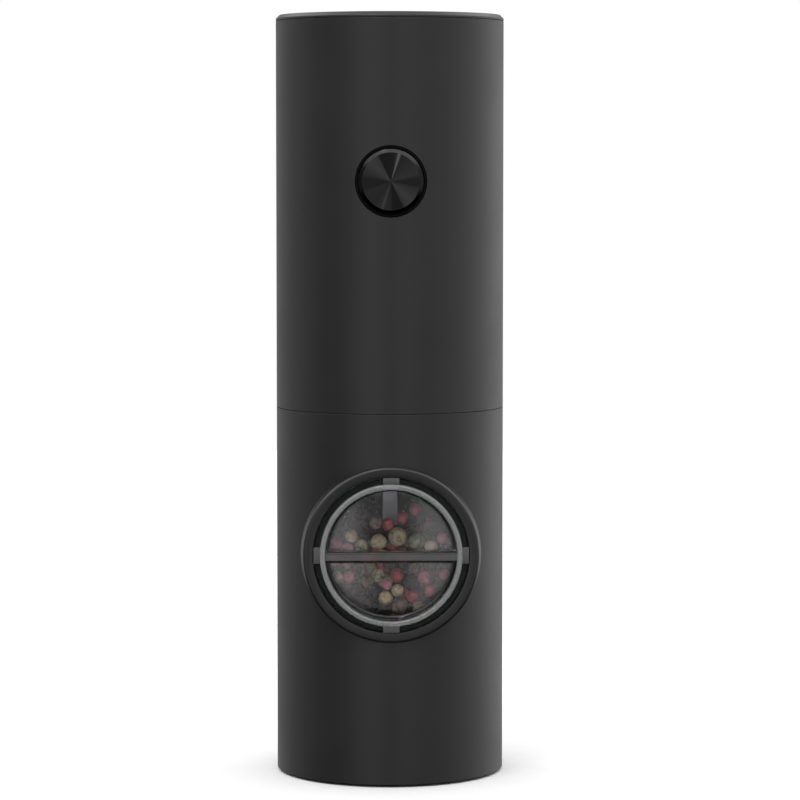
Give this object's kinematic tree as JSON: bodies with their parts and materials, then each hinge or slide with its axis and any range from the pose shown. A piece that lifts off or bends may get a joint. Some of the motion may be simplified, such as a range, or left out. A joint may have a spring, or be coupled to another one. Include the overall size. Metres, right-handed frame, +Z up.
{
  "type": "pepper mill",
  "caption": "Cylindrical battery-driven pepper mill with a front push button, a round clear filling port and ceramic burrs in its base.",
  "frame": {"origin": "centre of the casing's footprint, on the surface that it stands on", "axes": "+Z up along the casing's axis, -Y towards the button and the filling port, +X to the right"},
  "size_m": [0.057, 0.0586, 0.19],
  "materials": {
    "housing_black": "satin",
    "clear_plastic": "clear polished",
    "ceramic_white": "matte fired ceramic",
    "inner_black": "matte moulded",
    "seal_rubber": "soft matte",
    "seal_silicone": "soft, smoke grey",
    "bezel_black": "gloss",
    "button_metal": "black, spun, radial",
    "steel": "bright drawn",
    "zinc": "zinc plated",
    "sintered": "sintered",
    "gear_nylon": "natural nylon",
    "contact_metal": "nickel plated",
    "board_green": "solder resist",
    "cell_jacket": "gloss jacket",
    "wire_red": "insulation"
  },
  "bodies": {
    "mill_base": {"lower_sleeve": "housing_black", "window_collar": "housing_black", "hopper": "clear_plastic", "hopper_cover": "inner_black", "neck_seal": "seal_rubber", "grinder_housing": "inner_black", "outer_burr": "ceramic_white", "burr_retainer": "inner_black", "retainer_screws": "steel", "foot_ring": "seal_rubber"},
    "drive": {"drive_shaft": "steel", "upper_journal": "steel", "lower_journal": "steel", "stirrer": "inner_black", "spring_washer": "steel", "burr_spring": "steel"},
    "ground_burr": {"inner_burr": "ceramic_white", "burr_washer": "steel"},
    "fineness_knob": {"adjust_knob": "inner_black"},
    "power_unit": {"upper_housing": "housing_black", "button_bezel": "bezel_black", "chassis": "inner_black", "chassis_screws": "steel", "battery_carrier": "inner_black", "battery_cell_1": "cell_jacket", "battery_cell_2": "cell_jacket", "battery_cell_3": "cell_jacket", "battery_cell_4": "cell_jacket", "cell_contacts": "contact_metal", "gearbox_cover": "inner_black", "output_bush": "sintered", "ring_gear": "inner_black", "gearbox_screws": "steel", "motor_can": "zinc", "motor_end_cap": "inner_black", "motor_terminals": "contact_metal", "motor_wires": "wire_red", "circuit_board": "board_green", "board_screws": "steel", "tactile_switch": "inner_black"},
    "button": {"button_cap": "button_metal", "button_stem": "inner_black", "button_spring": "steel"},
    "lid": {"top_cap": "housing_black", "top_cap_seal": "seal_rubber", "cap_contact_board": "board_green", "cap_contacts": "contact_metal"},
    "output_stage": {"output_carrier": "gear_nylon"},
    "first_stage": {"first_carrier": "gear_nylon"},
    "rotor": {"motor_shaft": "steel", "motor_pinion": "sintered"},
    "seal_ring": {"cap_seal": "seal_silicone"},
    "port_cap": {"window_cap": "clear_plastic"},
    "output_gear_1": {"output_planet_1": "gear_nylon"},
    "output_gear_2": {"output_planet_2": "gear_nylon"},
    "output_gear_3": {"output_planet_3": "gear_nylon"},
    "first_gear_1": {"first_planet_1": "gear_nylon"},
    "first_gear_2": {"first_planet_2": "gear_nylon"},
    "first_gear_3": {"first_planet_3": "gear_nylon"}
  },
  "joints": [
    {"name": "shaft_spin", "type": "hinge", "parent": "mill_base", "child": "drive", "pos_m": [0, 0, 0], "axis": [0, 0, 1], "continuous": true},
    {"name": "burr_drop", "type": "slide", "parent": "drive", "child": "ground_burr", "axis": [0, 0, -1], "range_m": [0, 0.00083], "deforming": ["burr_spring"]},
    {"name": "knob_turn", "type": "hinge", "parent": "ground_burr", "child": "fineness_knob", "pos_m": [0, 0, 0], "axis": [0, 0, 1], "range_deg": [0, 300]},
    {"name": "power_lift", "type": "slide", "parent": "mill_base", "child": "power_unit", "axis": [0, 0, 1], "range_m": [0, 0.03]},
    {"name": "lid_lift", "type": "slide", "parent": "power_unit", "child": "lid", "axis": [0, 0, 1], "range_m": [0, 0.02]},
    {"name": "button_press", "type": "slide", "parent": "power_unit", "child": "button", "axis": [0, 1, 0], "range_m": [0, 0.001], "stiffness_N_per_m": 800, "deforming": ["button_spring"]},
    {"name": "output_spin", "type": "hinge", "parent": "power_unit", "child": "output_stage", "pos_m": [0, 0, 0], "axis": [0, 0, 1], "continuous": true},
    {"name": "first_spin", "type": "hinge", "parent": "power_unit", "child": "first_stage", "pos_m": [0, 0, 0], "axis": [0, 0, 1], "continuous": true},
    {"name": "rotor_spin", "type": "hinge", "parent": "power_unit", "child": "rotor", "pos_m": [0, 0, 0], "axis": [0, 0, 1], "continuous": true},
    {"name": "cap_travel", "type": "slide", "parent": "mill_base", "child": "seal_ring", "axis": [0, -1, 0], "range_m": [0, 0.03]},
    {"name": "cap_twist", "type": "hinge", "parent": "seal_ring", "child": "port_cap", "pos_m": [0, 0, 0.0575], "axis": [0, -1, 0], "range_deg": [0, 540]},
    {"name": "output_gear_1_spin", "type": "hinge", "parent": "output_stage", "child": "output_gear_1", "pos_m": [0.00675, 0, 0.11], "axis": [0, 0, 1], "continuous": true},
    {"name": "output_gear_2_spin", "type": "hinge", "parent": "output_stage", "child": "output_gear_2", "pos_m": [-0.00337, 0.00585, 0.11], "axis": [0, 0, 1], "continuous": true},
    {"name": "output_gear_3_spin", "type": "hinge", "parent": "output_stage", "child": "output_gear_3", "pos_m": [-0.00337, -0.00585, 0.11], "axis": [0, 0, 1], "continuous": true},
    {"name": "first_gear_1_spin", "type": "hinge", "parent": "first_stage", "child": "first_gear_1", "pos_m": [0.00675, 0, 0.11], "axis": [0, 0, 1], "continuous": true},
    {"name": "first_gear_2_spin", "type": "hinge", "parent": "first_stage", "child": "first_gear_2", "pos_m": [-0.00337, 0.00585, 0.11], "axis": [0, 0, 1], "continuous": true},
    {"name": "first_gear_3_spin", "type": "hinge", "parent": "first_stage", "child": "first_gear_3", "pos_m": [-0.00337, -0.00585, 0.11], "axis": [0, 0, 1], "continuous": true}
  ],
  "couplings": [
    {"joint": "output_spin", "follows": "shaft_spin", "ratio": 1},
    {"joint": "first_spin", "follows": "shaft_spin", "ratio": 4.5},
    {"joint": "rotor_spin", "follows": "shaft_spin", "ratio": 20.25},
    {"joint": "knob_turn", "follows": "burr_drop", "rad_per_m": 6283.2},
    {"joint": "cap_travel", "follows": "cap_twist", "m_per_rad": 0.0031831},
    {"joint": "output_gear_1_spin", "follows": "shaft_spin", "ratio": -2.8},
    {"joint": "output_gear_2_spin", "follows": "shaft_spin", "ratio": -2.8},
    {"joint": "output_gear_3_spin", "follows": "shaft_spin", "ratio": -2.8},
    {"joint": "first_gear_1_spin", "follows": "shaft_spin", "ratio": -12.6},
    {"joint": "first_gear_2_spin", "follows": "shaft_spin", "ratio": -12.6},
    {"joint": "first_gear_3_spin", "follows": "shaft_spin", "ratio": -12.6}
  ]
}
